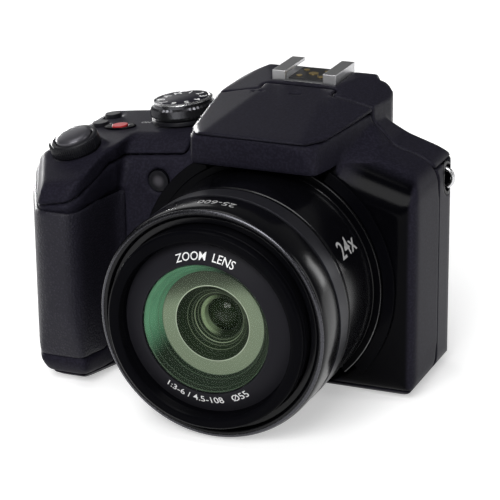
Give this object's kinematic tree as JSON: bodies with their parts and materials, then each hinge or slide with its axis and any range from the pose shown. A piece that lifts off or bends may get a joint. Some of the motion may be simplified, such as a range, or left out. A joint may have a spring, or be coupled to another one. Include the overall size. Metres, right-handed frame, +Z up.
{
  "type": "bridge camera",
  "caption": "Compact bridge camera with a telescoping zoom lens, pop-up flash, deep rubber grip, viewfinder, rear screen, dials, buttons and hinged doors.",
  "frame": {"origin": "mouth of the tripod socket in the base, straight below the optical axis", "axes": "+X to the plain side (the grip is at -X), +Y to the screen at the back with the lens facing -Y, +Z up"},
  "size_m": [0.1316, 0.1189, 0.0941],
  "materials": {
    "shell_black": "fine textured charcoal black",
    "deck_black": "fine textured black",
    "rubber_black": "pebbled grip rubber",
    "gloss_black": "gloss black",
    "barrel_black": "satin black",
    "band_grey": "satin dark grey",
    "bright_ring": "bright turned",
    "steel": "plain steel",
    "inner_black": "plain black moulding",
    "glass": "coated glass",
    "clear_window": "clear ribbed window",
    "lamp_lens": "tinted lamp window",
    "satin_metal": "satin grey",
    "button_black": "satin black",
    "record_red": "red centre",
    "screen_glass": "smooth black window",
    "battery_grey": "plain grey wrap",
    "contact_gold": "gold-coloured contacts in black"
  },
  "bodies": {
    "casing": {"front_cover": "shell_black", "rear_cover": "shell_black", "top_cover": "deck_black", "base_cover": "shell_black", "hump_cover": "shell_black", "grip_rubber": "rubber_black", "thumb_rubber": "rubber_black", "lens_surround": "gloss_black", "lens_base_ring": "bright_ring", "fixed_barrel": "barrel_black", "barrel_band": "band_grey", "lens_cup": "inner_black", "rear_lens_group": "glass", "image_sensor": "screen_glass", "focus_lamp": "lamp_lens", "hinge_pins": "steel", "flash_capacitor": "inner_black", "hot_shoe": "steel", "hot_shoe_contacts": "contact_gold", "eyepiece_frame": "shell_black", "eyecup": "rubber_black", "eyepiece_lens": "glass", "screen_glass": "screen_glass", "screen_panel": "screen_glass", "battery": "battery_grey", "terminal_sockets": "steel", "chassis": "steel", "strap_cups": "inner_black", "strap_loops": "steel", "fixings": "steel"},
    "mid_tube": {"mid_barrel": "barrel_black", "zoom_lens_group": "glass"},
    "front_tube": {"front_barrel": "barrel_black", "name_ring": "barrel_black", "front_element": "glass", "second_element": "glass"},
    "flash_unit": {"flash_lid": "shell_black", "flash_head": "inner_black", "flash_window": "clear_window", "flash_tube": "clear_window"},
    "zoom_lever": {"zoom_lever": "button_black"},
    "shutter_button": {"shutter_button": "satin_metal"},
    "mode_dial": {"mode_dial": "barrel_black"},
    "power_lever": {"power_lever": "button_black"},
    "record_button": {"record_button": "record_red"},
    "burst_button": {"burst_button": "button_black"},
    "focus_button": {"focus_button": "button_black"},
    "rear_dial": {"rear_dial": "button_black"},
    "cursor_pad": {"cursor_pad": "button_black"},
    "set_button": {"set_button": "button_black"},
    "lock_button": {"lock_button": "button_black"},
    "playback_button": {"playback_button": "button_black"},
    "display_button": {"display_button": "button_black"},
    "menu_button": {"menu_button": "button_black"},
    "finder_button": {"finder_button": "button_black"},
    "flash_release": {"flash_release": "button_black"},
    "diopter_knob": {"diopter_knob": "button_black"},
    "battery_door": {"battery_door": "shell_black"},
    "door_latch": {"door_latch": "button_black"},
    "terminal_door": {"terminal_door": "shell_black"}
  },
  "joints": [
    {"name": "zoom_mid", "type": "slide", "parent": "casing", "child": "mid_tube", "axis": [0, -1, 0], "range_m": [0, 0.03]},
    {"name": "zoom_front", "type": "slide", "parent": "mid_tube", "child": "front_tube", "axis": [0, -1, 0], "range_m": [0, 0.03]},
    {"name": "shutter_press", "type": "slide", "parent": "casing", "child": "shutter_button", "axis": [0.1926, 0.2588, -0.9465], "range_m": [0, 0.0012], "stiffness_N_per_m": 900},
    {"name": "zoom_lever_turn", "type": "hinge", "parent": "casing", "child": "zoom_lever", "pos_m": [-0.06226, -0.0144, 0.07315], "axis": [-0.1926, -0.2588, 0.9465], "range_deg": [-20, 20], "stiffness_Nm_per_rad": 0.04},
    {"name": "mode_dial_turn", "type": "hinge", "parent": "casing", "child": "mode_dial", "pos_m": [-0.03905, 0.016, 0.08017], "axis": [-0.1132, 0, 0.9936], "continuous": true},
    {"name": "power_turn", "type": "hinge", "parent": "casing", "child": "power_lever", "pos_m": [-0.03871, 0.016, 0.07719], "axis": [-0.1132, 0, 0.9936], "range_deg": [0, 35]},
    {"name": "record_press", "type": "slide", "parent": "casing", "child": "record_button", "axis": [0.1132, 0, -0.9936], "range_m": [0, 0.0007], "stiffness_N_per_m": 800},
    {"name": "burst_press", "type": "slide", "parent": "casing", "child": "burst_button", "axis": [0.1132, 0, -0.9936], "range_m": [0, 0.0007], "stiffness_N_per_m": 800},
    {"name": "focus_press", "type": "slide", "parent": "casing", "child": "focus_button", "axis": [0.1132, 0, -0.9936], "range_m": [0, 0.0007], "stiffness_N_per_m": 800},
    {"name": "rear_dial_turn", "type": "hinge", "parent": "casing", "child": "rear_dial", "pos_m": [-0.06, 0.0309, 0.0628], "axis": [0, 0, 1], "continuous": true},
    {"name": "cursor_press", "type": "slide", "parent": "casing", "child": "cursor_pad", "axis": [0, -1, 0], "range_m": [0, 0.0006], "stiffness_N_per_m": 800},
    {"name": "set_press", "type": "slide", "parent": "casing", "child": "set_button", "axis": [0, -1, 0], "range_m": [0, 0.0006], "stiffness_N_per_m": 800},
    {"name": "lock_press", "type": "slide", "parent": "casing", "child": "lock_button", "axis": [0, -1, 0], "range_m": [0, 0.0007], "stiffness_N_per_m": 800},
    {"name": "playback_press", "type": "slide", "parent": "casing", "child": "playback_button", "axis": [0, -1, 0], "range_m": [0, 0.0007], "stiffness_N_per_m": 800},
    {"name": "display_press", "type": "slide", "parent": "casing", "child": "display_button", "axis": [0, -1, 0], "range_m": [0, 0.0007], "stiffness_N_per_m": 800},
    {"name": "menu_press", "type": "slide", "parent": "casing", "child": "menu_button", "axis": [0, -1, 0], "range_m": [0, 0.0007], "stiffness_N_per_m": 800},
    {"name": "finder_press", "type": "slide", "parent": "casing", "child": "finder_button", "axis": [0, -1, 0], "range_m": [0, 0.0007], "stiffness_N_per_m": 800},
    {"name": "flash_lift", "type": "hinge", "parent": "casing", "child": "flash_unit", "pos_m": [0, 0.018, 0.0886], "axis": [-1, 0, 0], "range_deg": [0, 40]},
    {"name": "flash_release_press", "type": "slide", "parent": "casing", "child": "flash_release", "axis": [0.9903, 0.1392, 0], "range_m": [0, 0.0006], "stiffness_N_per_m": 800},
    {"name": "diopter_turn", "type": "hinge", "parent": "casing", "child": "diopter_knob", "pos_m": [0.0208, 0.0424, 0.075], "axis": [1, 0, 0], "range_deg": [-120, 120]},
    {"name": "battery_door_swing", "type": "hinge", "parent": "casing", "child": "battery_door", "pos_m": [-0.0575, 0.001, 0.0012], "axis": [0, -1, 0], "range_deg": [0, 90]},
    {"name": "door_latch_slide", "type": "slide", "parent": "battery_door", "child": "door_latch", "axis": [1, 0, 0], "range_m": [0, 0.003]},
    {"name": "terminal_door_swing", "type": "hinge", "parent": "casing", "child": "terminal_door", "pos_m": [-0.0801, 0.02, 0.04], "axis": [0, 0, -1], "range_deg": [0, 100]}
  ],
  "couplings": [
    {"joint": "zoom_front", "follows": "zoom_mid", "ratio": 1}
  ]
}
